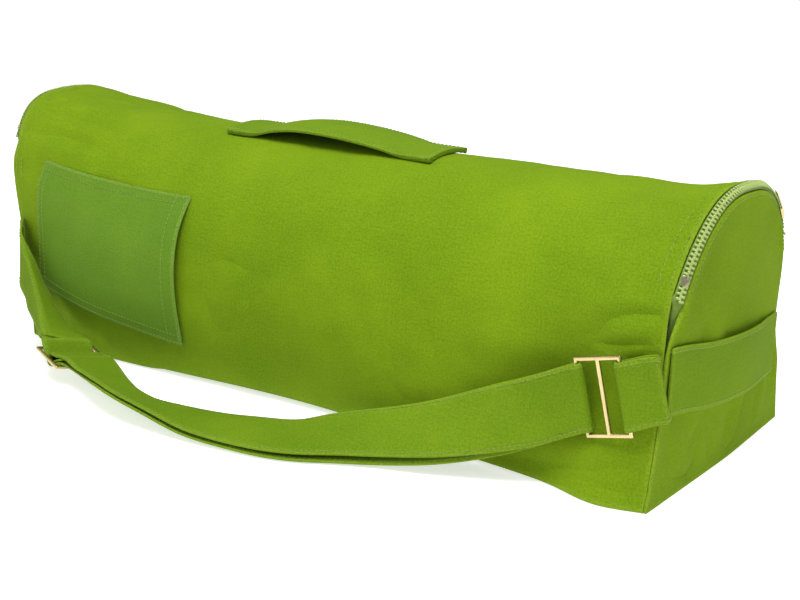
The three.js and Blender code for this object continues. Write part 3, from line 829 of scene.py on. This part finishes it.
def zip_pieces(node, end, side):
    rings, middle = zip_rings(node)
    ridge = []
    outward = []
    for ring in rings:
        centre = sum(ring, Vector()) / len(ring)
        radial = Vector((0, centre.y - middle.y, centre.z - middle.z + 60 * MM)).normalized()
        way = (radial + Vector((side, 0, 0))).normalized()
        ridge.append(max(ring, key=lambda p: p.dot(way)))
        outward.append(way)
    shape = merged(node)
    for ring in (rings[0], rings[-1]):
        lengthen_tape(shape, ring, side)
    bmesh.ops.join_triangles(
        shape, faces=shape.faces, angle_face_threshold=0.9, angle_shape_threshold=1.2
    )
    tape = rounded(new_piece(f"zip_tape_{end}", shape, TAPE), 1)
    surface = surface_of(tape)
    line = []
    for point, way in zip(smooth_line(ridge, 8), smooth_line(outward, 8)):
        place, normal, _, _ = surface.find_nearest(point)
        facing = (way + normal).normalized() if normal.dot(way) > 0.5 else way
        line.append((place + facing * CHAIN_RISE, facing))
    row = row_along(f"zip_chain_{end}", [line], CHAIN, TOOTH_PITCH, TEETH)
    dressed(row, "zip_teeth")
    dressed(tape, "zip_teeth", node)


zip_pieces("zip_right", "right", 1)
zip_pieces("zip_left", "left", -1)

# Stitching

for node, name, piece, insets in (
    ("shoulder_strap", "strap_stitches", strap, [STRAP_STITCH_INSET]),
    ("buckle_loop", "buckle_loop_stitches", loop, [STRAP_STITCH_INSET]),
    ("end_band_right", "right_band_stitches", right_band, [STRAP_STITCH_INSET]),
    ("end_band_left", "left_band_stitches", left_band, [STRAP_STITCH_INSET]),
    ("handle", "handle_stitches", handle, [STRAP_STITCH_INSET]),
):
    sewn(name, piece, [s for s in sharp_seams(node, shortest=60 * MM)], insets)

pocket_low, pocket_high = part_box("pocket")
pocket_seams = [s for s in sharp_seams("pocket", shortest=60 * MM) if s.facing().y < 0]
mouth = max(pocket_seams, key=lambda s: s.middle().x)
shut = [s for s in pocket_seams if s is not mouth]
sewn("pocket_stitches", pocket, shut, [2.5 * MM, 9 * MM])
sewn("pocket_hem_stitches", pocket, [mouth], [2.5 * MM, 16 * MM])


def outer_rims(node, side):
    """The outer edge of the cloth round one end of the bag, above where the zip starts."""
    found = []
    for seam in sharp_seams(node, least=40, shortest=200 * MM):
        if seam.middle().x * side < 0.8 * BASE_HALF:
            continue
        upper = seam.kept(lambda p: p.z > ZIP_START)
        if upper and upper.length() > 120 * MM:
            found.append(upper)
    return found


for side, end, panel in ((1, "right", right_panel), (-1, "left", left_panel)):
    hems = outer_rims("main_body", side)
    sewn(f"body_hem_stitches_{end}", body, hems, [4 * MM, 13 * MM])
    hems = outer_rims(f"end_panel_{end}", side)
    sewn(f"end_hem_stitches_{end}", panel, hems, [3.5 * MM])

# Floor, light and camera

floor_mesh = bpy.data.meshes.new("floor")
reach = 30.0
floor_mesh.from_pydata(
    [(-reach, -reach, -0.3 * MM), (reach, -reach, -0.3 * MM), (reach, reach, -0.3 * MM), (-reach, reach, -0.3 * MM)],
    [],
    [(0, 1, 2, 3)],
)
floor = bpy.data.objects.new("floor", floor_mesh)
floor_mesh.materials.append(pale_floor())
bpy.context.scene.collection.objects.link(floor)
floor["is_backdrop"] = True


def soft_light(name, place, target, size, power, colour=(1, 1, 1)):
    lamp = bpy.data.lights.new(name, "AREA")
    lamp.size = size
    lamp.energy = power
    lamp.color = colour
    holder = bpy.data.objects.new(name, lamp)
    holder.location = place
    holder.rotation_euler = (Vector(target) - Vector(place)).to_track_quat("-Z", "Y").to_euler()
    bpy.context.scene.collection.objects.link(holder)


soft_light("key", (0.4, -0.5, 2.0), (0, 0, 0.1), 1.1, 54)
soft_light("fill", (-1.5, -1.6, 0.9), (0, 0, 0.1), 1.6, 7)
soft_light("end fill", (2.0, 0.2, 1.0), (0.3, 0, 0.1), 1.2, 4)

world = bpy.data.worlds.new("studio")
world.use_nodes = True
backdrop = world.node_tree.nodes["Background"]
backdrop.inputs["Color"].default_value = (1, 1, 1, 1)
backdrop.inputs["Strength"].default_value = 0.5
bpy.context.scene.world = world
bpy.context.scene.view_settings.view_transform = "Standard"

camera = bpy.data.objects.new("camera", bpy.data.cameras.new("camera"))
camera.data.lens = 61.74
camera.data.sensor_width = 36
camera.location = (0.7018, -0.9565, 0.4151)
camera.rotation_euler = (math.radians(73.75), 0, math.radians(34.8))
bpy.context.scene.collection.objects.link(camera)
bpy.context.scene.camera = camera

boxes = [[list(map(float, corner)) for corner in box] for box in (cad_box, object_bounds())]
{"cad": boxes[0], "visual": boxes[1]}
